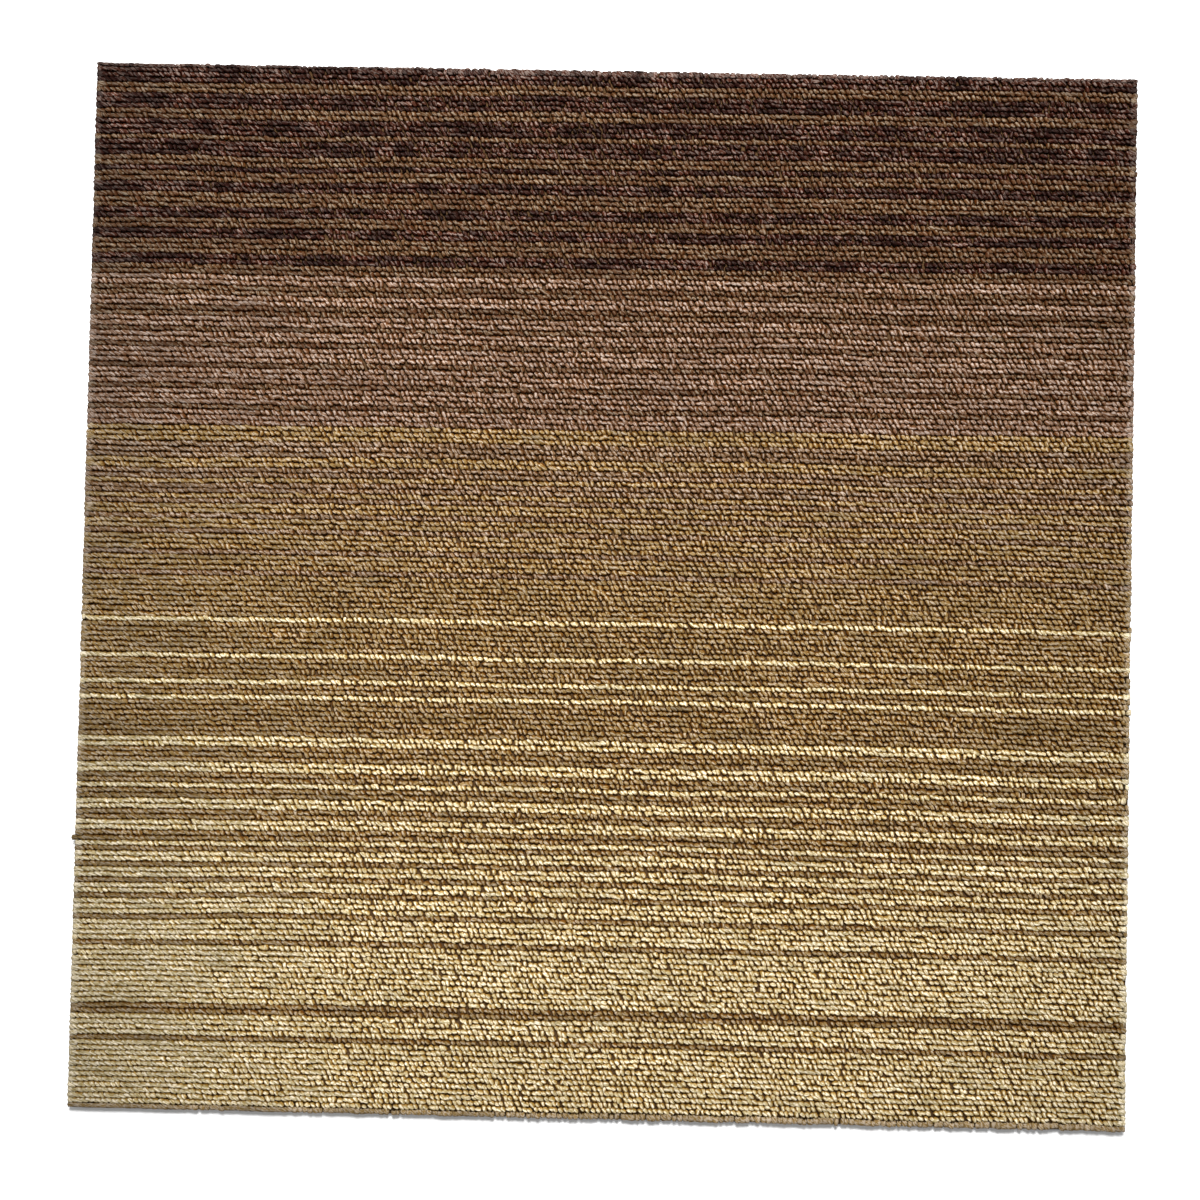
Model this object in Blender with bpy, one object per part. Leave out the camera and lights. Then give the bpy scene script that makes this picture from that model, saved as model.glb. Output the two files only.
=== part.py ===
"""Loop-pile carpet tile, 500 mm square: a slab of yarn pile bonded flat on a backing slab.

Units are metres, +Z is up. The origin is the centre of the underside, at floor level. The rows of
loops run along X, and the tile's dark striped edge is the one at +Y.
"""

import bmesh
import bpy
from mathutils import Vector

# Driving sizes of the tile.
TILE_SIDE = 0.500            # cut edge to cut edge, the same both ways
BACKING_THICKNESS = 0.0030   # filled backing compound, floor to primary cloth
PILE_HEIGHT = 0.0035         # primary cloth to the tops of the loops

# The backing is die-cut square. The loops at the cut fall outwards a little, which rounds the pile.
PILE_SHOULDER_RADIUS = 0.0012   # along the upper edges of the pile
PILE_CORNER_RADIUS = 0.0015     # seen from above, at the four corners of the pile
ROUNDING_STEPS = 4              # flats that make up each quarter round

# Finishes: linear base colour, roughness, metallic value.
PILE_FINISH = ((0.216, 0.140, 0.070, 1.0), 0.95, 0.0)
BACKING_FINISH = ((0.022, 0.022, 0.024, 1.0), 0.80, 0.0)


def clear_scene():
    """Removes whatever the open file already holds."""
    for obj in list(bpy.data.objects):
        bpy.data.objects.remove(obj, do_unlink=True)


def make_collection(name):
    """Makes the collection that the tile's pieces go in."""
    collection = bpy.data.collections.new(name)
    bpy.context.scene.collection.children.link(collection)
    return collection


def make_material(name, finish):
    """Makes a Principled material from a colour, a roughness and a metallic value."""
    colour, roughness, metallic = finish
    material = bpy.data.materials.new(name)
    material.use_nodes = True
    shader = material.node_tree.nodes["Principled BSDF"]
    shader.inputs["Base Color"].default_value = colour
    shader.inputs["Roughness"].default_value = roughness
    shader.inputs["Metallic"].default_value = metallic
    material.diffuse_color = colour
    return material


def new_slab_mesh(side, thickness):
    """A square slab lying on the plane z = 0, centred on the Z axis."""
    slab = bmesh.new()
    bmesh.ops.create_cube(slab, size=1.0)
    bmesh.ops.scale(slab, vec=Vector((side, side, thickness)), verts=slab.verts)
    bmesh.ops.translate(slab, vec=Vector((0.0, 0.0, thickness / 2)), verts=slab.verts)
    return slab


def round_edges(slab, edges, radius):
    """Rolls the given edges over with a quarter round of this radius."""
    bmesh.ops.bevel(
        slab,
        geom=edges,
        offset=radius,
        segments=ROUNDING_STEPS,
        profile=0.5,
        affect="EDGES",
        clamp_overlap=True,
    )


def upright_edges(slab):
    """The edges that run straight up the slab's corners."""
    return [edge for edge in slab.edges if is_upright(edge.verts[1].co - edge.verts[0].co)]


def is_upright(run):
    """True where an edge's run from end to end is along Z."""
    return abs(run.z) > max(abs(run.x), abs(run.y))


def rim_edges(slab, height):
    """The edges round the face at the given height."""
    top = max(slab.faces, key=lambda face: (face.normal.z, face.calc_center_median().z))
    assert abs(top.calc_center_median().z - height) < height / 1000
    return list(top.edges)


def add_object(name, slab, z, material, collection):
    """Stands the slab at height z as a named object with its material."""
    mesh = bpy.data.meshes.new(name)
    slab.to_mesh(mesh)
    slab.free()
    mesh.materials.append(material)
    mesh.shade_smooth()
    mesh.set_sharp_from_angle(angle=0.6)
    obj = bpy.data.objects.new(name, mesh)
    obj.location = (0.0, 0.0, z)
    collection.objects.link(obj)
    return obj


def make_backing(collection):
    """The die-cut slab of backing compound that lies on the floor."""
    slab = new_slab_mesh(TILE_SIDE, BACKING_THICKNESS)
    material = make_material("backing_compound", BACKING_FINISH)
    return add_object("backing", slab, 0.0, material, collection)


def make_loop_pile(collection):
    """The yarn pile with its primary cloth, cut flush with the backing under it."""
    slab = new_slab_mesh(TILE_SIDE, PILE_HEIGHT)
    round_edges(slab, upright_edges(slab), PILE_CORNER_RADIUS)
    round_edges(slab, rim_edges(slab, PILE_HEIGHT), PILE_SHOULDER_RADIUS)
    material = make_material("pile_yarn", PILE_FINISH)
    return add_object("loop_pile", slab, BACKING_THICKNESS, material, collection)


def main():
    clear_scene()
    collection = make_collection("carpet_tile")
    make_backing(collection)
    make_loop_pile(collection)


main()
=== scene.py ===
"""Looks of a 500 mm loop-pile carpet tile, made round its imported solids.

The pile is tufted loop by loop. Each row carries one yarn of the threading plan, alternate rows are
staggered by half a stitch, and every loop leans, turns and bulks a little differently. The loops
stand on a woven primary cloth, and the cloth lies on the backing, whose own solid stays.
"""

import logging
import math
from collections.abc import Callable
from dataclasses import dataclass, field
from enum import Enum
from typing import Any

import bpy
import numpy as np
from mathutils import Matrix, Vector


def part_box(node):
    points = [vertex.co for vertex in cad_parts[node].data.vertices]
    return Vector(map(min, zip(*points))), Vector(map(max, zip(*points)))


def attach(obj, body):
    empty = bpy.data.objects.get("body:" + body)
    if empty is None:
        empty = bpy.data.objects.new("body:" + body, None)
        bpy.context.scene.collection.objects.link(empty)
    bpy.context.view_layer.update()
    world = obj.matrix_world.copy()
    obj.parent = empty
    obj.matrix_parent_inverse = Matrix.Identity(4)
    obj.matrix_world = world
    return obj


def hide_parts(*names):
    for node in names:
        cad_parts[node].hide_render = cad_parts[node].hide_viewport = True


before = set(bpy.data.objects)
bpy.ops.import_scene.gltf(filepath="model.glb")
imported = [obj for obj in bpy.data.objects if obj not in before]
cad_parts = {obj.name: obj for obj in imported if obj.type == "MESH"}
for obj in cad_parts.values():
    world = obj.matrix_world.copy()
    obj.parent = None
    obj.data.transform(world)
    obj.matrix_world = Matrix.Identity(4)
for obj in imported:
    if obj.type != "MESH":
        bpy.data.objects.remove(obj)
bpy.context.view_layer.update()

Colour = tuple[float, float, float]
Point = tuple[float, float, float]

LOG = logging.getLogger("carpet_tile")
MM = 0.001
SEED = 2470
CLOTH_THICKNESS = 0.4 * MM


def linear(red: int, green: int, blue: int) -> Colour:
    """Turns a screen colour into the linear one that a shader takes.

    Args:
        red: Red, 0 to 255.
        green: Green, 0 to 255.
        blue: Blue, 0 to 255.

    Returns:
        The linear colour.
    """
    shares = (red / 255, green / 255, blue / 255)
    return tuple(s / 12.92 if s <= 0.04045 else ((s + 0.055) / 1.055) ** 2.4 for s in shares)


class Yarn(Enum):
    """The solution-dyed yarns on the creel."""

    UMBER = "umber"
    WALNUT = "walnut"
    MAUVE = "mauve"
    TAUPE = "taupe"
    OCHRE = "ochre"
    CREAM = "cream"


class Chart(Enum):
    """How the faces of a loop are laid out in its cell of the bake map."""

    TOP_AND_BOTTOM = "top and bottom"
    SIX_SIDES = "six sides"


@dataclass(frozen=True)
class YarnFinish:
    """What one yarn looks like, with painted shade in the gaps and a painted highlight on the loops'
    tops.

    Attributes:
        deep_painted_shade: Colour of the legs down between the loops, darkened and warmed as painted
            shade.
        body: Colour of the loops' flanks.
        crest: Colour of the loops' tops, paler as a painted highlight.
        accent: Second shade of the twist.
        accent_share: How much of the accent a fully tinted loop takes, 0 to 1.
        loop_spread: How much loops differ in lightness, as a standard deviation.
        streak_spread: How much stretches of a row differ in lightness.
        streak_length: Usual length of such a stretch, in metres.
        drift: How much lighter the yarn is painted at the near edge than at the far one, as painted
            light.
        bulk: Width of a loop as a share of the plain one.
        lift: Height of a loop as a share of the plain one.
    """

    deep_painted_shade: Colour
    body: Colour
    crest: Colour
    accent: Colour
    accent_share: float
    loop_spread: float = 0.06
    streak_spread: float = 0.05
    streak_length: float = 24 * MM
    drift: float = 0.0
    bulk: float = 1.0
    lift: float = 1.0


# Each yarn's deep colour is painted shade for the gaps and its crest colour a painted highlight.
YARN_FINISHES: dict[Yarn, YarnFinish] = {
    Yarn.UMBER: YarnFinish(
        deep_painted_shade=linear(34, 9, 5), body=linear(61, 35, 25), crest=linear(101, 87, 80),
        accent=linear(24, 10, 12), accent_share=0.60, loop_spread=0.26,
        streak_spread=0.14, streak_length=11 * MM, bulk=0.98, lift=0.98,
    ),
    Yarn.WALNUT: YarnFinish(
        deep_painted_shade=linear(59, 33, 14), body=linear(87, 63, 41), crest=linear(124, 110, 94),
        accent=linear(76, 46, 32), accent_share=0.45,
        streak_spread=0.06, streak_length=22 * MM, lift=0.97,
    ),
    Yarn.MAUVE: YarnFinish(
        deep_painted_shade=linear(78, 51, 32), body=linear(113, 88, 69), crest=linear(155, 139, 128),
        accent=linear(94, 68, 52), accent_share=0.40, drift=-0.40, bulk=1.02,
    ),
    Yarn.TAUPE: YarnFinish(
        deep_painted_shade=linear(78, 53, 29), body=linear(113, 89, 63), crest=linear(157, 141, 127),
        accent=linear(90, 66, 46), accent_share=0.40, drift=-0.20, lift=0.98,
    ),
    Yarn.OCHRE: YarnFinish(
        deep_painted_shade=linear(96, 68, 29), body=linear(130, 106, 65), crest=linear(167, 151, 130),
        accent=linear(108, 88, 52), accent_share=0.35, loop_spread=0.05,
        drift=-0.35, bulk=0.98, lift=0.96,
    ),
    Yarn.CREAM: YarnFinish(
        deep_painted_shade=linear(138, 122, 78), body=linear(180, 165, 127), crest=linear(234, 221, 195),
        accent=linear(168, 148, 98), accent_share=0.35, loop_spread=0.04,
        streak_spread=0.04, drift=-0.25, lift=1.02,
    ),
}


@dataclass(frozen=True)
class Band:
    """A band of the threading plan, from the far edge of the tile towards the near one.

    Attributes:
        name: What the mill would call it.
        threading: Each stripe's yarn and number of rows, in order.
    """

    name: str
    threading: tuple[tuple[Yarn, int], ...]

    def rows(self) -> list[Yarn]:
        """The yarn of each row of the band, in order."""
        return [yarn for yarn, count in self.threading for _ in range(count)]


U, W, M, T, O, C = Yarn.UMBER, Yarn.WALNUT, Yarn.MAUVE, Yarn.TAUPE, Yarn.OCHRE, Yarn.CREAM
THREADING_PLAN: tuple[Band, ...] = (
    Band("umber band", (
        (U, 4), (W, 2), (U, 3), (W, 2), (U, 3), (W, 1), (U, 3), (W, 2), (U, 1), (W, 2),
        (U, 2), (W, 3), (U, 2), (W, 2), (U, 2), (W, 3), (U, 2), (W, 2),
    )),
    Band("mauve band", (
        (M, 2), (W, 2), (M, 2), (W, 2), (M, 2), (W, 1), (M, 2), (W, 1), (M, 3), (W, 1),
        (M, 3), (W, 1), (M, 3), (W, 1), (M, 3),
    )),
    Band("ochre band", (
        (O, 3), (T, 3), (O, 2), (T, 2), (O, 1), (T, 2), (O, 1), (T, 1), (O, 2), (T, 1),
        (O, 2), (T, 1), (O, 3), (T, 1), (O, 3), (T, 1), (O, 8),
    )),
    Band("lined band", (
        (C, 1), (O, 6), (C, 1), (O, 4), (C, 1), (O, 2), (C, 1), (O, 7), (C, 2), (O, 3),
        (C, 2), (O, 2), (C, 1), (O, 2), (C, 2), (O, 2), (C, 2), (O, 2), (C, 1), (O, 1),
        (C, 2), (O, 1), (C, 2), (O, 1), (C, 2), (O, 1), (C, 3), (O, 1), (C, 4), (O, 1),
    )),
    Band("cream band", ((C, 11), (O, 2), (C, 4), (O, 1), (C, 12), (O, 1))),
)


class Signal:
    """A socket of a material's nodes, on which shader maths is written as plain expressions."""

    def __init__(self, tree: "FinishTree", socket: bpy.types.NodeSocket) -> None:
        """Wraps a socket of the given tree."""
        self.tree = tree
        self.socket = socket

    def __add__(self, other: "Signal | float") -> "Signal":
        """The sum."""
        return self.tree.maths("ADD", self, other)

    def __radd__(self, other: float) -> "Signal":
        """The sum, from the right."""
        return self.tree.maths("ADD", other, self)

    def __sub__(self, other: "Signal | float") -> "Signal":
        """The difference."""
        return self.tree.maths("SUBTRACT", self, other)

    def __rsub__(self, other: float) -> "Signal":
        """The difference, from the right."""
        return self.tree.maths("SUBTRACT", other, self)

    def __mul__(self, other: "Signal | float") -> "Signal":
        """The product."""
        return self.tree.maths("MULTIPLY", self, other)

    def __rmul__(self, other: float) -> "Signal":
        """The product, from the right."""
        return self.tree.maths("MULTIPLY", other, self)


class FinishTree:
    """The node tree of one material, ended by its Principled shader."""

    def __init__(self, name: str, roughness: float, specular: float) -> None:
        """Makes the material.

        Args:
            name: The material's name.
            roughness: Roughness all over.
            specular: Specular level all over.
        """
        self.material = bpy.data.materials.new(name)
        self.material.use_nodes = True
        self.tree = self.material.node_tree
        self.shader = self.tree.nodes["Principled BSDF"]
        self.shader.inputs["Roughness"].default_value = roughness
        self.shader.inputs["Specular IOR Level"].default_value = specular

    def node(self, kind: str, settings: dict[str, Any] | None = None, **sockets: Any) -> bpy.types.Node:
        """Adds a node.

        Args:
            kind: Its type.
            settings: Its settings, set before its sockets.
            **sockets: Values or signals for its inputs, by identifier with underscores for spaces.

        Returns:
            The node.
        """
        made = self.tree.nodes.new(kind)
        for name, value in (settings or {}).items():
            setattr(made, name, value)
        by_name = {socket.identifier.replace(" ", "_"): socket for socket in made.inputs}
        for name, value in sockets.items():
            self.feed(by_name[name], value)
        return made

    def feed(self, socket: bpy.types.NodeSocket, value: Any) -> None:
        """Links a signal to an input, or sets the input's own value.

        Args:
            socket: The input.
            value: A signal, a number, a vector, or a colour without its alpha.
        """
        if isinstance(value, Signal):
            self.tree.links.new(value.socket, socket)
        elif isinstance(value, tuple) and len(value) == 3 and socket.type == "RGBA":
            socket.default_value = (*value, 1.0)
        else:
            socket.default_value = value

    def out(self, node: bpy.types.Node, name: str | int = 0) -> Signal:
        """The named output of a node, as a signal."""
        return Signal(self, node.outputs[name])

    def maths(self, operation: str, first: Signal | float, second: Signal | float = 0.0) -> Signal:
        """One Math node's result.

        Args:
            operation: What the node does.
            first: Its first value.
            second: Its second value, where it takes one.

        Returns:
            The result.
        """
        made = self.node("ShaderNodeMath", {"operation": operation})
        self.feed(made.inputs[0], first)
        self.feed(made.inputs[1], second)
        return self.out(made)

    def blend(
        self, share: Signal | float, start: Signal | Colour, end: Signal | Colour, mode: str = "MIX"
    ) -> Signal:
        """A colour that goes from start to end, or to their product.

        Args:
            share: How far it has gone, 0 to 1.
            start: The colour that it starts from.
            end: The colour that it ends at.
            mode: MIX to end at the end colour, or MULTIPLY to end at the product of both.

        Returns:
            The colour.
        """
        settings = {"data_type": "RGBA", "blend_type": mode}
        made = self.node("ShaderNodeMix", settings, Factor_Float=share, A_Color=start, B_Color=end)
        return Signal(self, next(s for s in made.outputs if s.identifier == "Result_Color"))

    def scaled(self, colour: Signal, gain: Signal) -> Signal:
        """A colour made lighter or darker.

        Args:
            colour: The colour.
            gain: The factor on it.

        Returns:
            Their product.
        """
        made = self.node("ShaderNodeVectorMath", {"operation": "SCALE"})
        self.feed(made.inputs[0], colour)
        self.feed(made.inputs["Scale"], gain)
        return self.out(made)

    def eased(self, value: Signal, low: float, high: float) -> Signal:
        """A smooth step from 0 to 1.

        Args:
            value: What the step follows.
            low: Value at which it is 0.
            high: Value at which it is 1, which may be the lower one.

        Returns:
            The step.
        """
        made = self.node(
            "ShaderNodeMapRange", {"interpolation_type": "SMOOTHSTEP"},
            Value=value, From_Min=low, From_Max=high,
        )
        return self.out(made)

    def attribute(self, name: str) -> bpy.types.Node:
        """The node that reads one of the mesh's own attributes."""
        return self.node("ShaderNodeAttribute", {"attribute_name": name})

    def grain(self, vector: Signal, size: Point, turn: float = 0.0, detail: float = 2.0) -> Signal:
        """A noise pattern from 0 to 1 whose grains are longer one way than another.

        Args:
            vector: Where the pattern is read.
            size: Size of a grain each way, in metres.
            turn: Angle of its first way to X, in radians.
            detail: How many finer octaves it has.

        Returns:
            The pattern.
        """
        mapped = self.node("ShaderNodeMapping", {"vector_type": "TEXTURE"})
        self.feed(mapped.inputs["Vector"], vector)
        mapped.inputs["Scale"].default_value = size
        mapped.inputs["Rotation"].default_value = (0.0, 0.0, turn)
        made = self.node("ShaderNodeTexNoise", Vector=self.out(mapped), Scale=1.0, Detail=detail)
        return self.out(made, 0)

    def relief(self, height: Signal, strength: float, distance: float) -> None:
        """Raises the surface's fine relief by a height from 0 to 1."""
        made = self.node("ShaderNodeBump", Height=height, Strength=strength, Distance=distance)
        self.feed(self.shader.inputs["Normal"], self.out(made))

    def colour(self, value: Signal) -> None:
        """Sets what the surface's colour is."""
        self.feed(self.shader.inputs["Base Color"], value)


@dataclass(frozen=True)
class YarnMaterial:
    """Bulked two-ply yarn: fibres along the twist, painted shade down its legs and a painted highlight on
    top.

    Attributes:
        name: The material's name.
        finish: The yarn's colours.
        pile_height: Height of a loop, in metres.
        ply: Length and width of a ply where it crosses the crest, in metres.
        fibre: Length and width of a bundle of fibres, in metres.
        twist: Angle of the plies to the yarn's length, in radians.
        broken_by: How far the plies and the fibres shift the heights at which the colours change.
        flank_span: Heights between which the legs' painted shade gives way to the flanks' colour, as
            shares.
        painted_highlight_span: Heights between which the flanks' colour gives way to the crest's painted
            highlight.
        accent_span: Tints between which the second shade comes in.
        gap_span: Heights between which the light fades on its way down.
        glow: What is left of the light that reaches down between the loops.
        relief_depth: Depth of the fine relief, in metres.
    """

    name: str
    finish: YarnFinish
    pile_height: float
    ply: tuple[float, float] = (1.5 * MM, 0.5 * MM)
    fibre: tuple[float, float] = (1.1 * MM, 0.26 * MM)
    twist: float = math.radians(-45)
    broken_by: tuple[float, float] = (1.0, 0.9)
    flank_span: tuple[float, float] = (0.55, 0.80)
    painted_highlight_span: tuple[float, float] = (0.88, 1.06)
    accent_span: tuple[float, float] = (0.2, 0.9)
    gap_span: tuple[float, float] = (0.82, 0.56)
    glow: Colour = (1.0, 0.68, 0.27)
    relief_depth: float = 0.6 * MM

    def build(self) -> bpy.types.Material:
        """Makes the material.

        Returns:
            The material.
        """
        tree = FinishTree(self.name, roughness=0.85, specular=0.03)
        way = tree.attribute("yarn")
        tone = tree.out(tree.attribute("tone"), "Fac")
        tint = tree.out(tree.attribute("tint"), "Fac")
        along = tree.out(way, "Vector")
        parts = tree.node("ShaderNodeSeparateXYZ", Vector=along)
        rise = tree.out(parts, "Z") * (1 / self.pile_height)
        plies = tree.grain(along, (*self.ply, self.ply[0]), self.twist, 0.0)
        fibres = tree.grain(along, (*self.fibre, self.fibre[0]), self.twist, 1.0)
        by_plies, by_fibres = self.broken_by
        level = rise + (plies - 0.5) * by_plies + (fibres - 0.5) * by_fibres
        # Painted shade low on each loop and a painted highlight on its crest, by height.
        colour = tree.blend(tree.eased(level, *self.flank_span), self.finish.deep_painted_shade, self.finish.body)
        colour = tree.blend(tree.eased(level, *self.painted_highlight_span), colour, self.finish.crest)
        share = tree.eased(tint + (fibres - 0.5) * 0.5, *self.accent_span) * self.finish.accent_share
        colour = tree.blend(share, colour, self.finish.accent)
        # Painted shade: the light left down between the loops darkens and warms the colour.
        depth = tree.eased(rise + (plies - 0.5) * 0.2, *self.gap_span)
        colour = tree.blend(depth, colour, self.glow, "MULTIPLY")
        # The tone carries random lightness and painted light and shade across the tile.
        tree.colour(tree.scaled(colour, tone))
        tree.relief(plies * 0.7 + fibres * 0.3, 1.0, self.relief_depth)
        return tree.material


@dataclass(frozen=True)
class ClothMaterial:
    """Woven primary cloth: flat dark tapes over and under each other.

    Attributes:
        shade: Colour of the tapes.
        pale: Colour of their scuffed edges.
        tape_width: Width of a tape, in metres.
        scuff: Size of a scuffed spot each way, in metres.
        relief_depth: Depth of the fine relief, in metres.
    """

    shade: Colour = linear(66, 46, 26)
    pale: Colour = linear(92, 70, 44)
    tape_width: float = 1.2 * MM
    scuff: Point = (4 * MM, 0.4 * MM, 1 * MM)
    relief_depth: float = 0.1 * MM

    def build(self) -> bpy.types.Material:
        """Makes the material.

        Returns:
            The material.
        """
        tree = FinishTree("primary_cloth", roughness=0.8, specular=0.1)
        place = tree.out(tree.node("ShaderNodeTexCoord"), "Object")
        weave = tree.node("ShaderNodeTexChecker", Vector=place, Scale=1 / self.tape_width)
        over = tree.out(weave, "Fac")
        wear = tree.grain(place, self.scuff, detail=3.0)
        tree.colour(tree.blend(tree.eased(wear, 0.4, 0.8), self.shade, self.pale))
        tree.relief(over * 0.6 + wear * 0.4, 0.5, self.relief_depth)
        return tree.material


@dataclass(frozen=True)
class BackingMaterial:
    """Filled compound: charcoal with chalky specks where it is cut, and fleece underneath.

    Attributes:
        compound: Colour of the compound.
        filler: Colour of the filler's specks.
        fleece: Colour of the fleece underneath.
        fleece_fibre: Colour of the paler fibres in the fleece.
        scrim_height: Height of the glass scrim above the floor, in metres.
        scrim_edges: How far from its middle a strand of the scrim ends and is whole, in metres.
        strand_gap: Distance between the strands' cut ends, in metres.
        speck: Size of a speck of filler, in metres.
        cloud: Size of a thicker or thinner patch of the fleece, in metres.
        hair: Size of a fibre of the fleece each way, in metres.
        hair_turns: The two ways in which the fibres lie, in radians.
        side_height: Height above which the compound's cut side is seen, in metres.
        relief_depth: Depth of the fine relief, in metres.
    """

    compound: Colour = linear(46, 45, 46)
    filler: Colour = linear(112, 110, 106)
    fleece: Colour = linear(70, 70, 72)
    fleece_fibre: Colour = linear(122, 122, 124)
    scrim_height: float = 1.6 * MM
    scrim_edges: tuple[float, float] = (0.22 * MM, 0.08 * MM)
    strand_gap: float = 2 * MM
    speck: float = 0.4 * MM
    cloud: float = 16 * MM
    hair: Point = (5 * MM, 0.5 * MM, 1 * MM)
    hair_turns: tuple[float, float] = (0.6, -0.9)
    side_height: float = 0.02 * MM
    relief_depth: float = 0.15 * MM

    def build(self) -> bpy.types.Material:
        """Makes the material.

        Returns:
            The material.
        """
        tree = FinishTree("backing_compound", roughness=0.8, specular=0.3)
        place = tree.out(tree.node("ShaderNodeTexCoord"), "Object")
        height = tree.out(tree.node("ShaderNodeSeparateXYZ", Vector=place), "Z")
        specks = tree.grain(place, (self.speck, self.speck, self.speck))
        clouds = tree.grain(place, (self.cloud, self.cloud, self.cloud), detail=3.0)
        cut = tree.blend(tree.eased(specks, 0.62, 0.74), self.compound, self.filler)
        off_scrim = tree.maths("ABSOLUTE", height - self.scrim_height)
        strand = tree.eased(off_scrim, *self.scrim_edges)
        dashes = tree.eased(tree.grain(place, (self.strand_gap, self.strand_gap, 1.0)), 0.45, 0.6)
        cut = tree.blend(strand * dashes * 0.7, cut, self.fleece_fibre)
        hairs, cross = (tree.grain(place, self.hair, turn, 4.0) for turn in self.hair_turns)
        felt = tree.maths("MAXIMUM", hairs, cross)
        paleness = tree.eased(felt + (clouds - 0.5) * 0.2, 0.5, 0.75)
        under = tree.blend(paleness, self.fleece, self.fleece_fibre)
        is_side = tree.maths("GREATER_THAN", height, self.side_height)
        tree.colour(tree.blend(is_side, under, cut))
        tree.relief(felt * (1 - is_side) + specks * is_side, 0.5, self.relief_depth)
        return tree.material


@dataclass(frozen=True)
class LoopForm:
    """One loop of yarn, modelled once: its row runs along X and it stands on z = 0.

    Attributes:
        points: Its points, in metres.
        triangles: Its triangles, as rows of three point numbers.
        chart: Each corner's place in the loop's cell of the bake map, 0 to 1 both ways.
    """

    points: np.ndarray
    triangles: np.ndarray
    chart: np.ndarray


@dataclass
class LoopModeller:
    """Models the loops: a plain one for the field of the tile and a fuller one for its edges.

    Attributes:
        length: Length of a loop along its row, in metres.
        width: Width of a loop across its row, in metres.
        height: Height of a loop above its stitch, in metres.
        belly: Height of its widest part, as a share of its height.
        far_share: Length of its far side as a share of its length.
        near_share: Length of its near side as a share of its length.
        skew: How far its sides are shifted, the far one to the left, as a share of its length.
        crest: Length and width that its crest spans and how far it falls, as shares of the loop's.
        foot: Length of its foot, as a share of its length.
        sides: Sides of its ring, seen from above.
        arch_bends: Bends of a whole ring of the edges' arched yarn.
        arch_sides: Sides of the arched yarn, seen from its end.
        arch_opening: Middle radius of the arch, as a share of its yarn's own radius.
    """

    length: float
    width: float
    height: float
    belly: float = 0.52
    far_share: float = 1.06
    near_share: float = 0.84
    skew: float = 0.10
    crest: Point = (0.54, 0.37, 0.06)
    foot: float = 0.44
    sides: int = 8
    arch_bends: int = 10
    arch_sides: int = 6
    arch_opening: float = 1.1

    def plain(self) -> LoopForm:
        """The field's loop: broad on its far side, to meet its neighbours, and slim on its near one.

        Its crest runs slantwise from the far left down to the near right, as the twist lays it.

        Returns:
            The loop.
        """
        centre = (0, 0, self.belly * self.height)
        deselect_all()
        bpy.ops.mesh.primitive_circle_add(vertices=self.sides, radius=0.5, location=centre)
        bpy.ops.object.transform_apply(location=True, rotation=False, scale=False)
        bpy.ops.object.mode_set(mode="EDIT")
        bpy.ops.mesh.select_all(action="SELECT")
        bpy.ops.transform.rotate(value=math.pi / self.sides, orient_axis="Z", center_override=centre)
        bpy.ops.transform.resize(value=(self.length, self.width, 1.0), center_override=(0, 0, 0))
        for side, share in ((1, self.far_share), (-1, self.near_share)):
            select_points(lambda at, side=side: at.y * side > 0)
            bpy.ops.transform.resize(value=(share, 1.0, 1.0), center_override=(0, 0, 0))
            bpy.ops.transform.translate(value=(-side * self.skew * self.length, 0, 0))
        along, across, fall = self.crest
        right_end = (along * self.length / 2, -across * self.width / 2, -fall * self.height)
        self.pinch(self.height, right_end)
        self.pinch(0.0, (self.foot * self.length / 2, 0.0, 0.0))
        return self.finished(Chart.TOP_AND_BOTTOM)

    def pinch(self, rise: float, half: Point) -> None:
        """Draws the belly's ring up or down to a short ridge.

        Args:
            rise: Height of the ridge's middle, in metres.
            half: From the ridge's middle to its right end, in metres.
        """
        belly = self.belly * self.height
        near = self.height * 1e-3
        select_points(lambda at: abs(at.z - belly) < near)
        bpy.ops.mesh.extrude_region_move(TRANSFORM_OT_translate={"value": (0, 0, rise - belly)})
        for side in (-1, 1):
            select_points(lambda at, side=side: abs(at.z - rise) < near and at.x * side > 0)
            bpy.ops.mesh.merge(type="CENTER")
            middle = next(v.co for v in edited_points() if v.select)
            target = (side * half[0], side * half[1], rise + side * half[2])
            bpy.ops.transform.translate(value=tuple(to - at for to, at in zip(target, middle)))

    def full(self) -> LoopForm:
        """The edges' loop: yarn bent over in an arch, with both legs down to the cloth.

        Returns:
            The loop.
        """
        yarn = self.length / (2 * self.arch_opening + 2)
        shoulder = self.height - (self.arch_opening + 1) * yarn
        deselect_all()
        bpy.ops.mesh.primitive_torus_add(
            major_segments=self.arch_bends, minor_segments=self.arch_sides,
            major_radius=self.arch_opening * yarn, minor_radius=yarn,
            location=(0, 0, shoulder), rotation=(math.pi / 2, 0, 0),
        )
        bpy.ops.object.transform_apply(location=True, rotation=True, scale=False)
        bpy.ops.object.mode_set(mode="EDIT")
        bpy.ops.mesh.select_all(action="SELECT")
        bpy.ops.transform.resize(value=(1.0, self.width / (2 * yarn), 1.0), center_override=(0, 0, 0))
        bpy.ops.mesh.bisect(plane_co=(0, 0, shoulder), plane_no=(0, 0, 1), clear_inner=True)
        select_points(lambda at: abs(at.z - shoulder) < yarn * 1e-3)
        bpy.ops.mesh.extrude_region_move(TRANSFORM_OT_translate={"value": (0, 0, -shoulder)})
        bpy.ops.mesh.select_all(action="SELECT")
        bpy.ops.mesh.fill_holes(sides=0)
        return self.finished(Chart.SIX_SIDES)

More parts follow.
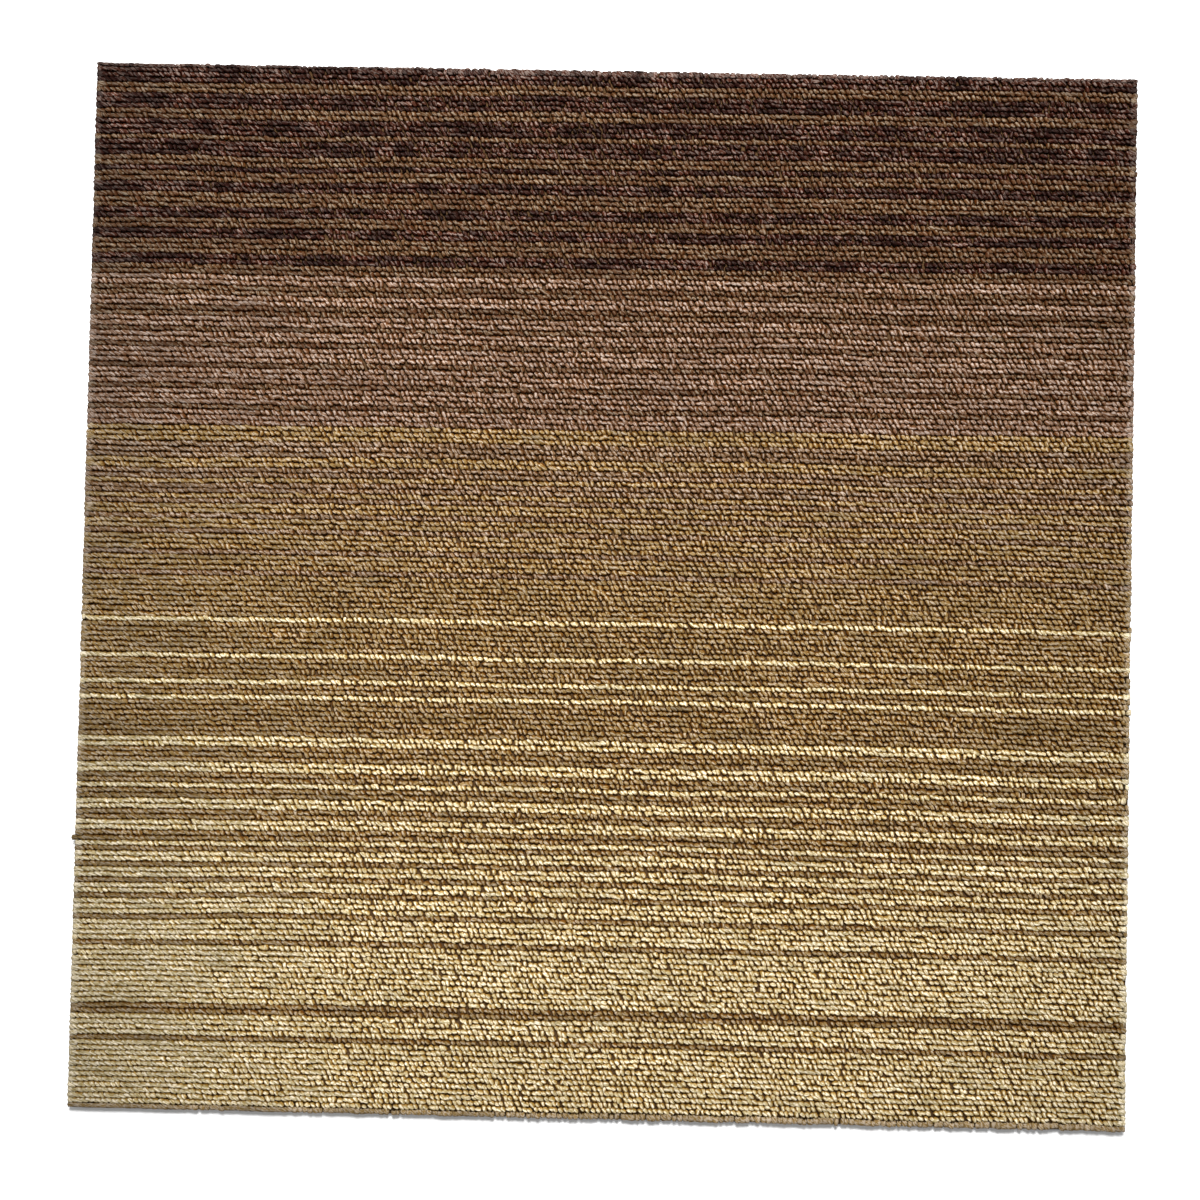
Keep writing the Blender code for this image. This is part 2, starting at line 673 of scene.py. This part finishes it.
    def finished(self, chart: Chart) -> LoopForm:
        """Turns the mesh that is being edited into a loop's form and removes its object.

        Args:
            chart: How its faces are laid out in a cell.

        Returns:
            The form.
        """
        bpy.ops.mesh.select_all(action="SELECT")
        bpy.ops.mesh.quads_convert_to_tris()
        bpy.ops.mesh.normals_make_consistent(inside=False)
        bpy.ops.object.mode_set(mode="OBJECT")
        obj = bpy.context.object
        mesh = obj.data
        points = np.empty(len(mesh.vertices) * 3)
        mesh.vertices.foreach_get("co", points)
        triangles = np.array([tuple(face.vertices) for face in mesh.polygons])
        points = points.reshape(-1, 3)
        bpy.data.objects.remove(obj, do_unlink=True)
        bpy.data.meshes.remove(mesh)
        return LoopForm(points, triangles, charted(points, triangles, chart))


def deselect_all() -> None:
    """Leaves no object selected."""
    bpy.ops.object.select_all(action="DESELECT")


def edited_points() -> list[bpy.types.MeshVertex]:
    """Reads the mesh in edit mode.

    Returns:
        Its points, up to date.
    """
    obj = bpy.context.object
    obj.update_from_editmode()
    return list(obj.data.vertices)


def select_points(wanted: Callable[[Vector], bool]) -> None:
    """Selects the points of the mesh in edit mode whose place passes a test.

    Args:
        wanted: Takes a point's place and says whether it is selected.
    """
    bpy.ops.mesh.select_all(action="DESELECT")
    bpy.ops.object.mode_set(mode="OBJECT")
    for point in bpy.context.object.data.vertices:
        point.select = bool(wanted(point.co))
    bpy.ops.object.mode_set(mode="EDIT")
    bpy.ops.mesh.select_mode(type="VERT")


def charted(points: np.ndarray, triangles: np.ndarray, chart: Chart) -> np.ndarray:
    """Lays a loop's triangles out in its cell, seen flat from the side that each faces.

    Args:
        points: The loop's points.
        triangles: Its triangles.
        chart: How its faces are laid out.

    Returns:
        A place in the cell for each corner, as triangles by 3 by 2.
    """
    corners = points[triangles]
    normals = np.cross(corners[:, 1] - corners[:, 0], corners[:, 2] - corners[:, 0])
    if chart is Chart.TOP_AND_BOTTOM:
        top_end, bottom_start = 0.68, 0.70
        views = [(2, 1, (0.0, 0.0, top_end, 1.0)), (2, -1, (bottom_start, 0.0, 1.0, 1.0))]
        facing = np.where(normals[:, 2] > 0, 0, 1)
    else:
        filled = 0.94
        views = [
            (axis, sign, (column / 3, row / 2, (column + filled) / 3, (row + filled) / 2))
            for column, axis in enumerate((2, 1, 0)) for row, sign in enumerate((1, -1))
        ]
        leaning = [normals[:, axis] * sign for axis, sign, _ in views]
        facing = np.argmax(leaning, axis=0)
    low, high = points.min(0), points.max(0)
    unit = (corners - low) / (high - low)
    placed = np.zeros((len(triangles), 3, 2))
    for number, (axis, _, (left, bottom, right, top)) in enumerate(views):
        across = [other for other in range(3) if other != axis]
        mine = facing == number
        flat = unit[mine][:, :, across]
        placed[mine] = flat * (right - left, top - bottom) + (left, bottom)
    return placed


class Drift:
    """Smooth random values over the tile, for what changes slowly from loop to loop."""

    SPREAD_GAIN = 1.35

    def __init__(self, rng: np.random.Generator, cell_x: float, cell_y: float, extent: float) -> None:
        """Draws the values on a grid.

        Args:
            rng: The random numbers' source.
            cell_x: Distance over which the values change along X.
            cell_y: Distance over which they change along Y.
            extent: Reach of the grid to each side of the origin.
        """
        self.cell = (cell_x, cell_y)
        self.extent = extent
        shape = [int(2 * extent / cell) + 4 for cell in self.cell]
        self.values = rng.standard_normal(shape)

    def at(self, x: np.ndarray, y: np.ndarray) -> np.ndarray:
        """The values at the given places.

        Args:
            x: Places along X.
            y: Places along Y.

        Returns:
            The values, with a spread of about 1.
        """
        steps = [(place + self.extent) / cell + 1 for place, cell in zip((x, y), self.cell)]
        (i, a), (j, b) = ((np.floor(s).astype(int), s - np.floor(s)) for s in steps)
        a, b = a * a * (3 - 2 * a), b * b * (3 - 2 * b)
        v = self.values
        near = v[i, j] * (1 - a) + v[i + 1, j] * a
        far = v[i, j + 1] * (1 - a) + v[i + 1, j + 1] * a
        return (near * (1 - b) + far * b) * self.SPREAD_GAIN


@dataclass
class Loops:
    """All the loops of the pile, one entry each in arrays of equal length, in metres and radians.

    The crest is its length as a share of the form's. The lean shifts it, the tip raises its right end,
    as a share of its height, and the bend bows it. The tone is a factor on a loop's lightness, partly
    random and partly painted light and shade across the tile and at its edges.
    """

    row: np.ndarray
    x: np.ndarray
    y: np.ndarray
    length: np.ndarray
    width: np.ndarray
    height: np.ndarray
    turn: np.ndarray
    crest: np.ndarray
    lean_x: np.ndarray
    lean_y: np.ndarray
    tip: np.ndarray
    bend: np.ndarray
    tone: np.ndarray
    tint: np.ndarray
    overhang: np.ndarray
    at_edge: np.ndarray

    def pick(self, wanted: np.ndarray) -> "Loops":
        """The loops that a mask keeps."""
        return Loops(**{name: values[wanted] for name, values in vars(self).items()})

    def count(self) -> int:
        """How many loops there are."""
        return len(self.x)


@dataclass(frozen=True)
class Evenness:
    """How evenly the rows run, from 0 for the roughest.

    Attributes:
        least: Evenness where nothing adds to it.
        most: Evenness that nothing passes.
        perfect: Evenness at which nothing would vary.
        left: What the tile's left edge adds.
        left_span: Distances from it at which that starts to fade and is gone, in halves of the tile.
        left_taper: Share of it midway down, and how much that falls from the near edge to the far one.
        right: What the tile's right edge adds.
        patches: Spread of what patches of the field add.
        patch: Length and width of such a patch, in metres.
        runs: Spread of what short runs of one row add.
        run: Length of such a run, in metres, and its width, in rows.
    """

    least: float = 0.10
    most: float = 0.95
    perfect: float = 1.25
    left: float = 0.80
    left_span: tuple[float, float] = (0.075, 0.575)
    left_taper: tuple[float, float] = (0.8, 0.4)
    right: float = 0.14
    patches: float = 0.05
    patch: tuple[float, float] = (26 * MM, 8 * MM)
    runs: float = 0.18
    run: tuple[float, float] = (8 * MM, 0.8)


@dataclass(frozen=True)
class Spread:
    """How the loops vary. A spread is a standard deviation, and most are less where the rows are even.

    Attributes:
        slip: Spread of a row's shift along itself, in stitches.
        wander: Spread of the rows' slow sideways wander, in metres.
        wander_cell: Length and width over which it changes, in metres.
        wriggle: Spread of a row's quick sideways wriggle, in metres.
        wriggle_cell: Length over which it changes, in metres.
        place: Spreads of a loop's place along and across its row, in metres.
        bulge_cell: Length, in metres, and width, in rows, over which the loops' bulge changes.
        length: Length in stitches, what evenness adds, and its spread.
        width: Width in rows, what the bulge adds, and its spread.
        height: Height as a share of the pile's, what the bulge adds, and its spread.
        height_limits: Least and greatest of these shares.
        turn: Turn about the foot and its spread, in degrees.
        turn_taken: Share of the turn that an evenness of 1 takes away.
        crest: Crest's length as a share of the form's, what evenness adds, and its spread.
        lean: Spreads of the crest's lean along X and Y, in metres.
        tip: Spread of the crest's tip and its limit, as shares of its height.
        bend: Spread of the crest's bow, in metres.
        shade: What evenness takes from the tone, and the evenness that leaves it alone.
    """

    slip: float = 0.06
    wander: float = 0.22 * MM
    wander_cell: tuple[float, float] = (60 * MM, 30 * MM)
    wriggle: float = 0.10 * MM
    wriggle_cell: float = 4.5 * MM
    place: tuple[float, float] = (0.24 * MM, 0.11 * MM)
    bulge_cell: tuple[float, float] = (9 * MM, 1.5)
    length: Point = (1.15, 0.52, 0.12)
    width: Point = (1.18, 0.02, 0.08)
    height: Point = (0.97, 0.015, 0.07)
    height_limits: tuple[float, float] = (0.8, 1.16)
    turn: tuple[float, float] = (-2, 20)
    turn_taken: float = 0.85
    crest: Point = (0.92, 0.7, 0.25)
    lean: tuple[float, float] = (0.24 * MM, 0.16 * MM)
    tip: tuple[float, float] = (0.08, 0.15)
    bend: float = 0.26 * MM
    shade: tuple[float, float] = (0.46, 0.2)


@dataclass
class LoopPile:
    """The tufted face of the tile.

    Attributes:
        low: Lowest corner of the pile's solid.
        high: Highest corner of the pile's solid.
        stitches: Stitches in a row across the whole tile.
        cloth: Thickness of the primary cloth, in metres.
        rooted: Height of the loops' feet in the cloth, as a share of its thickness.
        index_far: Row number met at the far edge, at its left and right ends.
        index_near: Row number met at the near edge, at its left and right ends.
        crowding: Rows by which the even spacing is off: in one half-wave down the tile, and in two.
        bow: Rows by which the middle of the tile runs ahead of its sides, where that is most.
        overhang: How far yarn may bulge past the cut, in metres.
        snag: Where at the cut a loop was pulled out, in metres.
        middle_painted_light: Painted lightness of the loops in the middle of a row, as a factor.
        side_painted_shade: How much of it painted shade takes away at the ends of the rows.
        edge_fall: How much lower the outermost loops stand, as a share, and how far in, in rows.
        edge_shade: How much painted shade darkens the outermost loops, as a share.
        edge_bare: Share of an edge loop's height that light reaches from the side.
        rows_a_piece: Most rows of one yarn that are joined in one piece.
        evenness: Where the rows run evenly.
        spread: How the loops vary.
        rng: Source of the random numbers.
    """

    low: Point
    high: Point
    stitches: float = 203.0
    cloth: float = CLOTH_THICKNESS
    rooted: float = 0.75
    index_far: tuple[float, float] = (-0.15, 0.90)
    index_near: tuple[float, float] = (200.35, 200.85)
    crowding: tuple[float, float] = (-0.24, -0.14)
    bow: float = 0.49
    overhang: float = 0.35 * MM
    snag: tuple[float, float] = (-0.250, -0.1235)
    middle_painted_light: float = 1.03
    side_painted_shade: float = 0.12
    edge_fall: tuple[float, float] = (0.10, 0.8)
    edge_shade: float = 0.16
    edge_bare: float = 0.62
    rows_a_piece: int = 12
    evenness: Evenness = Evenness()
    spread: Spread = Spread()
    rng: np.random.Generator = field(default_factory=lambda: np.random.default_rng(SEED))

    def __post_init__(self) -> None:
        """Works out the sizes that follow from the solid's."""
        self.half = (self.high[0] - self.low[0]) / 2
        self.stitch = 2 * self.half / self.stitches
        rows = np.mean(self.index_near) - np.mean(self.index_far)
        self.pitch = 2 * self.half / rows
        self.floor = self.low[2] + self.rooted * self.cloth
        self.loop_height = self.high[2] - self.floor
        self.plan = [yarn for band in THREADING_PLAN for yarn in band.rows()]

    def row_line(self, row: np.ndarray, x: np.ndarray) -> np.ndarray:
        """Where a row's middle line runs, before it wanders.

        Args:
            row: Row numbers.
            x: Places along X.

        Returns:
            Places along Y.
        """
        passes = 3
        peak_gain = 12.2  # brings the top of inside**4 * (1 - inside) to 1
        share = (x + self.half) / (2 * self.half)
        far = self.index_far[0] + share * (self.index_far[1] - self.index_far[0])
        near = self.index_near[0] + share * (self.index_near[1] - self.index_near[0])
        once, twice = self.crowding
        down = (row - far) / (near - far)
        for _ in range(passes):
            inside = np.clip(down, 0, 1)
            off = once * np.sin(math.pi * inside) + twice * np.sin(2 * math.pi * inside)
            off = off + self.bow * 4 * share * (1 - share) * peak_gain * inside**4 * (1 - inside)
            down = (row - off - far) / (near - far)
        return self.half - 2 * self.half * down

    def tuft(self) -> Loops:
        """Sets out every loop of the pile.

        Returns:
            The loops.
        """
        rng, half, spread = self.rng, self.half, self.spread
        per_row = np.arange(int(self.stitches) + 2)
        grid = np.meshgrid(np.arange(len(self.plan)), per_row, indexing="ij")
        row, stitch = (numbers.ravel() for numbers in grid)
        n = len(row)
        stagger = np.where(row % 2 == 0, 0.0, 0.5)
        slip = rng.normal(0, spread.slip, len(self.plan))[row]
        x = -half + (stitch + stagger + slip - 0.25) * self.stitch
        y = self.row_line(row, x)
        wander = self.drift(*spread.wander_cell).at(x, y) * spread.wander
        wriggle = self.drift(spread.wriggle_cell, self.pitch).at(x, y) * spread.wriggle
        smooth = self.smoothness(x, y)
        rough = self.evenness.perfect - smooth

        def normal(deviation: float) -> np.ndarray:
            """One random number for each loop."""
            return rng.normal(0, deviation, n)

        x = x + normal(spread.place[0]) * rough
        y = y + wander + wriggle + normal(spread.place[1]) * rough
        finishes = [YARN_FINISHES[yarn] for yarn in self.plan]
        bulk = np.array([f.bulk for f in finishes])[row]
        lift = np.array([f.lift for f in finishes])[row]
        bulging = self.drift(spread.bulge_cell[0], self.pitch * spread.bulge_cell[1]).at(x, y)
        short, longer, uneven = spread.length
        length = self.stitch * (short + longer * smooth + normal(uneven) * rough)
        mean, bulged, uneven = spread.width
        width = self.pitch * bulk * (mean + bulged * bulging + normal(uneven) * rough)
        mean, bulged, uneven = spread.height
        standing = np.clip(mean + bulged * bulging + normal(uneven) * rough, *spread.height_limits)
        turned = spread.turn[0] + normal(spread.turn[1])
        short, longer, uneven = spread.crest
        loops = Loops(
            row=row, x=x, y=y, length=length, width=width,
            height=self.loop_height * lift * standing,
            turn=np.radians(turned * (1 - spread.turn_taken * smooth)),
            crest=short + longer * smooth + normal(uneven),
            lean_x=normal(spread.lean[0]) * rough,
            lean_y=normal(spread.lean[1]) * rough + wriggle,
            tip=np.clip(normal(spread.tip[0]) * rough, -spread.tip[1], spread.tip[1]),
            bend=normal(spread.bend) * rough,
            tone=1.0 - spread.shade[0] * (smooth - spread.shade[1]),
            tint=np.zeros(n), overhang=np.full(n, self.overhang), at_edge=np.zeros(n, bool),
        )
        self.shade(loops)
        return self.cut(loops)

    def drift(self, cell_x: float, cell_y: float) -> Drift:
        """Smooth random values that reach a little past the tile."""
        return Drift(self.rng, cell_x, cell_y, self.half * 1.1)

    def smoothness(self, x: np.ndarray, y: np.ndarray) -> np.ndarray:
        """How evenly the rows run: most so down the left of the tile, and in patches elsewhere.

        Args:
            x: Places along X.
            y: Places along Y.

        Returns:
            The evenness there.
        """
        even = self.evenness
        kept, fall = even.left_taper
        start, end = even.left_span
        left = np.clip((end - x / self.half - 1) / (end - start), 0, 1)
        left = left * (kept - fall * y / (2 * self.half))
        right = np.clip(2 * x / self.half - 1, 0, 1)
        patches = self.drift(*even.patch).at(x, y)
        runs = self.drift(even.run[0], even.run[1] * self.pitch).at(x, y)
        sides = even.left * left + even.right * right
        total = even.least + sides + even.patches * patches + even.runs * runs
        return np.clip(total, 0.0, even.most)

    def shade(self, loops: Loops) -> None:
        """Gives each loop its lightness, partly painted light and shade, and its second shade's share.

        Args:
            loops: The loops, which are changed.
        """
        streak_rows = 1.6
        tint, tint_by_streak, tint_spread = 0.45, -2.5, 0.25
        darkest, lightest = 0.3, 1.9
        for yarn, finish in YARN_FINISHES.items():
            mine = self.threaded_with(yarn, loops)
            x, y = loops.x[mine], loops.y[mine]
            streaks = self.drift(finish.streak_length, self.pitch * streak_rows).at(x, y)
            streaks = finish.streak_spread * streaks
            fine = finish.loop_spread * self.rng.standard_normal(mine.sum())
            # Painted light: the yarn grows lighter or darker from the far edge to the near one.
            slow = -finish.drift * y / (2 * self.half)
            loops.tone[mine] *= np.exp(slow + streaks + fine)
            twist = tint_spread * self.rng.standard_normal(mine.sum())
            loops.tint[mine] = tint + tint_by_streak * streaks + twist
        # Painted shade towards both ends of every row, lighter in the middle.
        loops.tone *= self.middle_painted_light - self.side_painted_shade * (loops.x / self.half) ** 4
        np.clip(loops.tone, darkest, lightest, out=loops.tone)

    def threaded_with(self, yarn: Yarn, loops: Loops) -> np.ndarray:
        """A mask of the loops whose row carries the yarn."""
        return np.array([threaded is yarn for threaded in self.plan])[loops.row]

    def cut(self, loops: Loops) -> Loops:
        """Trims the loops to the die's square: a loop across the cut keeps what lies inside it.

        A loop with less than the least share of itself inside is left out, and one that ends short of
        the cut by less than that share is drawn out to it.

        Args:
            loops: The loops as tufted.

        Returns:
            Those that are left.
        """
        least, turn_kept, edge_row = 0.26, 0.4, 0.95
        kept = np.ones(loops.count(), bool)
        for place, size in ((loops.x, loops.length), (loops.y, loops.width)):
            start, end = place - size / 2, place + size / 2
            start = np.where(start < least * size - self.half, -self.half, start)
            end = np.where(end > self.half - least * size, self.half, end)
            whole = (end - start) / size
            kept &= whole > least
            trimmed = np.abs(whole - 1) > 1e-3
            place[trimmed] = (start[trimmed] + end[trimmed]) / 2
            size[trimmed] = end[trimmed] - start[trimmed]
            loops.turn[trimmed] *= turn_kept
        inset = self.half - np.maximum(np.abs(loops.x), np.abs(loops.y))
        loops.at_edge |= inset < edge_row * self.pitch
        fall, rows_in = self.edge_fall
        loops.height *= 1 - fall * np.exp(-inset / (rows_in * self.pitch))
        # Painted shade on the outermost loops.
        loops.tone *= 1 - self.edge_shade * np.exp(-inset / self.pitch)
        loops = loops.pick(kept)
        self.pull(loops)
        return loops

    def pull(self, loops: Loops) -> None:
        """Draws the crest of one loop out past the cut, where it was snagged.

        Args:
            loops: The loops, of which that one is changed.
        """
        away = np.hypot(loops.x - self.snag[0], loops.y - self.snag[1])
        snagged = np.argmin(np.where(self.threaded_with(Yarn.OCHRE, loops), away, np.inf))
        pulled, most_out, shade = 3.0 * MM, 2.4 * MM, 0.8
        loops.lean_x[snagged] = -pulled
        loops.lean_y[snagged] = 0.0
        loops.overhang[snagged] = most_out
        loops.tone[snagged] *= shade

    def build(self) -> list[bpy.types.Object]:
        """Makes the pile, in pieces of a few rows of one yarn.

        Returns:
            The pieces.
        """
        modeller = LoopModeller(self.stitch, self.pitch, self.loop_height)
        plain, full = modeller.plain(), modeller.full()
        loops = self.tuft()
        pieces = []
        for yarn, finish in YARN_FINISHES.items():
            material = YarnMaterial(f"{yarn.value}_yarn", finish, self.loop_height).build()
            rows = [number for number, threaded in enumerate(self.plan) if threaded is yarn]
            groups = -(-len(rows) // self.rows_a_piece)
            for number, group in enumerate(np.array_split(rows, groups), start=1):
                mine = loops.pick(np.isin(loops.row, group))
                name = f"{yarn.value}_rows_{number}"
                pieces.append(self.join(name, mine, plain, full, material))
        return pieces

    def join(
        self, name: str, loops: Loops, plain: LoopForm, full: LoopForm, material: bpy.types.Material
    ) -> bpy.types.Object:
        """Joins copies of the loops into one piece.

        Args:
            name: The piece's name.
            loops: Its loops.
            plain: The form of a loop in the field.
            full: The form of a loop at the edge.
            material: The yarn's material.

        Returns:
            The piece.
        """
        margin = 0.04  # of a loop's cell on the bake map, left free all round
        columns = math.ceil(math.sqrt(loops.count()))
        cell = np.stack(np.divmod(np.arange(loops.count()), columns)[::-1], 1)
        keys = ("co", "faces", "uv", "yarn", "tone", "tint")
        stacks: dict[str, list[np.ndarray]] = {key: [] for key in keys}
        start = 0
        for form, mine, bared in ((plain, ~loops.at_edge, 0.0), (full, loops.at_edge, self.edge_bare)):
            some = loops.pick(mine)
            n, size = some.count(), len(form.points)
            placed = self.placed(form, some)
            offsets = start + np.arange(n)[:, None, None] * size
            seeds = self.rng.uniform(-1, 1, (n, 1, 3)) * (1.0, 1.0, 0.0)
            stacks["co"].append(placed.reshape(-1, 3))
            stacks["faces"].append((form.triangles[None] + offsets).reshape(-1, 3))
            charts = form.chart[None] * (1 - 2 * margin) + margin + cell[mine][:, None, None]
            stacks["uv"].append((charts / columns).reshape(-1, 2))
            lit = form.points * (1, 1, 1 - bared) + (0, 0, bared * self.loop_height)
            stacks["yarn"].append((lit[None] + seeds).reshape(-1, 3))
            stacks["tone"].append(np.repeat(some.tone, size))
            stacks["tint"].append(np.repeat(some.tint, size))
            start += n * size
        joined = {key: np.concatenate(parts) for key, parts in stacks.items()}
        piece = mesh_object(name, joined["co"], joined["faces"], joined["uv"])
        for key, kind in (("yarn", "FLOAT_VECTOR"), ("tone", "FLOAT"), ("tint", "FLOAT")):
            layer = piece.data.attributes.new(key, kind, "POINT")
            layer.data.foreach_set("vector" if kind == "FLOAT_VECTOR" else "value", joined[key].ravel())
        piece.data.materials.append(material)
        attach(piece, "root")
        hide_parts("loop_pile")
        LOG.info("%s: %d loops, %d triangles", name, loops.count(), len(joined["faces"]))
        return piece

    def placed(self, form: LoopForm, loops: Loops) -> np.ndarray:
        """Puts a copy of the form at each loop's place, sized, leant and turned as the loop is.

        Args:
            form: The loop's form.
            loops: The loops.

        Returns:
            The copies' points, as loops by points by 3.
        """
        unbowed = 0.1  # square of how far along the crest a bow leaves it in place
        sizes = np.stack([loops.length, loops.width, loops.height], 1)
        grown = sizes / (self.stitch, self.pitch, self.loop_height)
        local = form.points[None] * grown[:, None, :]
        rise = np.clip(form.points[:, 2] / self.loop_height, 0, 1)[None]
        lift = rise * rise
        angle = loops.turn[:, None] * rise**0.5
        reach = local[:, :, 0] * (1 + (loops.crest[:, None] - 1) * lift**2)
        end = 2 * form.points[None, :, 0] / self.stitch
        bow = end**2 - unbowed
        side = local[:, :, 1] + loops.bend[:, None] * bow * lift
        along = reach * np.cos(angle) - side * np.sin(angle)
        across = reach * np.sin(angle) + side * np.cos(angle)
        x = loops.x[:, None] + along + loops.lean_x[:, None] * lift
        y = loops.y[:, None] + across + loops.lean_y[:, None] * lift
        z = self.floor + local[:, :, 2] * (1 + loops.tip[:, None] * end * lift)
        most = loops.overhang[:, None]
        return np.stack([self.held(x, most), self.held(y, most), z], 2)

    def held(self, place: np.ndarray, most: np.ndarray) -> np.ndarray:
        """Draws in what reaches past the cut, so that it bulges by no more than the most allowed."""
        past = np.maximum(np.abs(place) - self.half, 0)
        return np.sign(place) * (np.abs(place) - past + most * np.tanh(past / most))


def mesh_object(name: str, points: np.ndarray, triangles: np.ndarray, uv: np.ndarray) -> bpy.types.Object:
    """Makes a smooth-shaded object of triangles with a bake map.

    Args:
        name: The object's name.
        points: Its points.
        triangles: Its triangles.
        uv: A place on the bake map for each corner.

    Returns:
        The object.
    """
    mesh = bpy.data.meshes.new(name)
    mesh.vertices.add(len(points))
    mesh.vertices.foreach_set("co", points.astype(np.float32).ravel())
    mesh.loops.add(len(triangles) * 3)
    mesh.loops.foreach_set("vertex_index", triangles.astype(np.int32).ravel())
    mesh.polygons.add(len(triangles))
    mesh.polygons.foreach_set("loop_start", np.arange(0, len(triangles) * 3, 3, dtype=np.int32))
    mesh.update(calc_edges=True)
    layer = mesh.uv_layers.new(name="OFBake")
    layer.uv.foreach_set("vector", uv.astype(np.float32).ravel())
    mesh.shade_smooth()
    obj = bpy.data.objects.new(name, mesh)
    bpy.context.scene.collection.objects.link(obj)
    return obj


@dataclass
class PrimaryCloth:
    """The cloth that the loops are tufted through.

    Attributes:
        low: Lowest corner of the pile's solid.
        high: Highest corner of the pile's solid.
        thickness: Thickness of the cloth, in metres.
        tapes: Tapes of the weave that the mesh follows, each way.
        dip: How far every second crossing dips, as a share of the thickness.
        solid: Thickness of the sheet itself, as a share of the thickness.
        set_back: How far its cut edge lies inside the die's cut, in metres.
    """

    low: Point
    high: Point
    thickness: float = CLOTH_THICKNESS
    tapes: int = 40
    dip: float = 0.2
    solid: float = 0.75
    set_back: float = 0.05 * MM

    def build(self) -> bpy.types.Object:
        """Makes the cloth.

        Returns:
            Its one piece.
        """
        side = self.high[0] - self.low[0] - 2 * self.set_back
        top = self.low[2] + self.thickness
        deselect_all()
        bpy.ops.mesh.primitive_grid_add(
            x_subdivisions=self.tapes, y_subdivisions=self.tapes, size=side, location=(0, 0, top)
        )
        bpy.ops.object.transform_apply(location=True, rotation=False, scale=False)
        bpy.ops.object.mode_set(mode="EDIT")
        step = side / self.tapes
        select_points(lambda at: (round(at.x / step) + round(at.y / step)) % 2 == 0)
        bpy.ops.transform.translate(value=(0, 0, -self.thickness * self.dip))
        bpy.ops.object.mode_set(mode="OBJECT")
        cloth = bpy.context.object
        cloth.name = cloth.data.name = "primary_cloth"
        thick = cloth.modifiers.new("thickness", "SOLIDIFY")
        thick.thickness = self.thickness * self.solid
        thick.offset = -1.0
        bpy.ops.object.modifier_apply(modifier=thick.name)
        cloth.data.shade_smooth()
        cloth.data.materials.append(ClothMaterial().build())
        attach(cloth, "root")
        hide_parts("loop_pile")
        LOG.info("primary_cloth: %.1f mm square, top at %.2f mm", side / MM, top / MM)
        return cloth


@dataclass
class Backing:
    """The backing, which keeps its own solid and gets its finish.

    Attributes:
        node: The solid's object.
    """

    node: bpy.types.Object

    def dress(self) -> None:
        """Gives the solid the finish of a cut filled compound with fleece underneath."""
        self.node.data.materials.clear()
        self.node.data.materials.append(BackingMaterial().build())
        LOG.info("backing: solid kept, finish added")


@dataclass
class Studio:
    """A plain pale floor, soft light and a camera that looks down on the tile.

    Attributes:
        camera_place: Where the camera stands, in metres.
        camera_turn: How it is turned, in degrees.
        lens: Its focal length, in millimetres.
        sensor: Width of its sensor, in millimetres.
        floor_size: Side of the floor, in metres.
        floor_shades: Its two shades of near white, as linear values.
        lamp_place: Where the lamp hangs, in metres.
        lamp_size: Its diameter, in metres.
        lamp_power: Its power, in watts.
        surround: Strength of the pale surround.
    """

    camera_place: Point = (0.0074, -0.0249, 0.799)
    camera_turn: Point = (1.498, 0.667, 1.173)
    lens: float = 50.0
    sensor: float = 36.0
    floor_size: float = 8.0
    floor_shades: tuple[float, float] = (0.93, 0.95)
    lamp_place: Point = (0.0, 0.55, 1.2)
    lamp_size: float = 0.4
    lamp_power: float = 33.5
    surround: float = 0.4

    def build(self) -> None:
        """Sets up the floor, the light and the camera."""
        self.lay_floor()
        self.light()
        deselect_all()
        bpy.ops.object.camera_add(
            location=self.camera_place, rotation=tuple(math.radians(a) for a in self.camera_turn)
        )
        camera = bpy.context.object
        camera.name = "camera"
        camera.data.lens = self.lens
        camera.data.sensor_width = self.sensor
        camera.data.clip_start = 0.01
        scene = bpy.context.scene
        scene.camera = camera
        scene.view_settings.view_transform = "Standard"
        scene.view_settings.look = "None"

    def lay_floor(self) -> None:
        """Lays the floor that the tile lies on."""
        deselect_all()
        bpy.ops.mesh.primitive_plane_add(size=self.floor_size, location=(0, 0, 0))
        floor = bpy.context.object
        floor.name = "floor"
        tree = FinishTree("floor_paint", roughness=0.9, specular=0.1)
        place = tree.out(tree.node("ShaderNodeTexCoord"), "Object")
        mottle = tree.eased(tree.grain(place, (0.3, 0.3, 0.3)), 0.0, 1.0)
        greyer, whiter = ((shade, shade, shade) for shade in self.floor_shades)
        tree.colour(tree.blend(mottle, greyer, whiter))
        floor.data.materials.append(tree.material)

    def light(self) -> None:
        """Hangs a soft lamp over the tile, towards its far side, in an even pale surround."""
        deselect_all()
        bpy.ops.object.light_add(type="AREA", location=self.lamp_place)
        lamp = bpy.context.object
        lamp.name = "key_lamp"
        lamp.data.shape = "DISK"
        lamp.data.size = self.lamp_size
        lamp.data.energy = self.lamp_power
        aim = lamp.location.normalized()
        lamp.rotation_euler = aim.to_track_quat("Z", "Y").to_euler()
        world = bpy.data.worlds.new("surround")
        world.use_nodes = True
        backdrop = world.node_tree.nodes["Background"]
        backdrop.inputs["Color"].default_value = (1.0, 1.0, 1.0, 1.0)
        backdrop.inputs["Strength"].default_value = self.surround
        bpy.context.scene.world = world


def main() -> None:
    """Builds the tile's looks in order, with the studio first."""
    logging.basicConfig(level=logging.INFO, format="%(message)s")
    Studio().build()
    low, high = (tuple(corner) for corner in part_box("loop_pile"))
    Backing(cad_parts["backing"]).dress()
    PrimaryCloth(low, high).build()
    LoopPile(low, high).build()


if __name__ == "__main__":
    main()
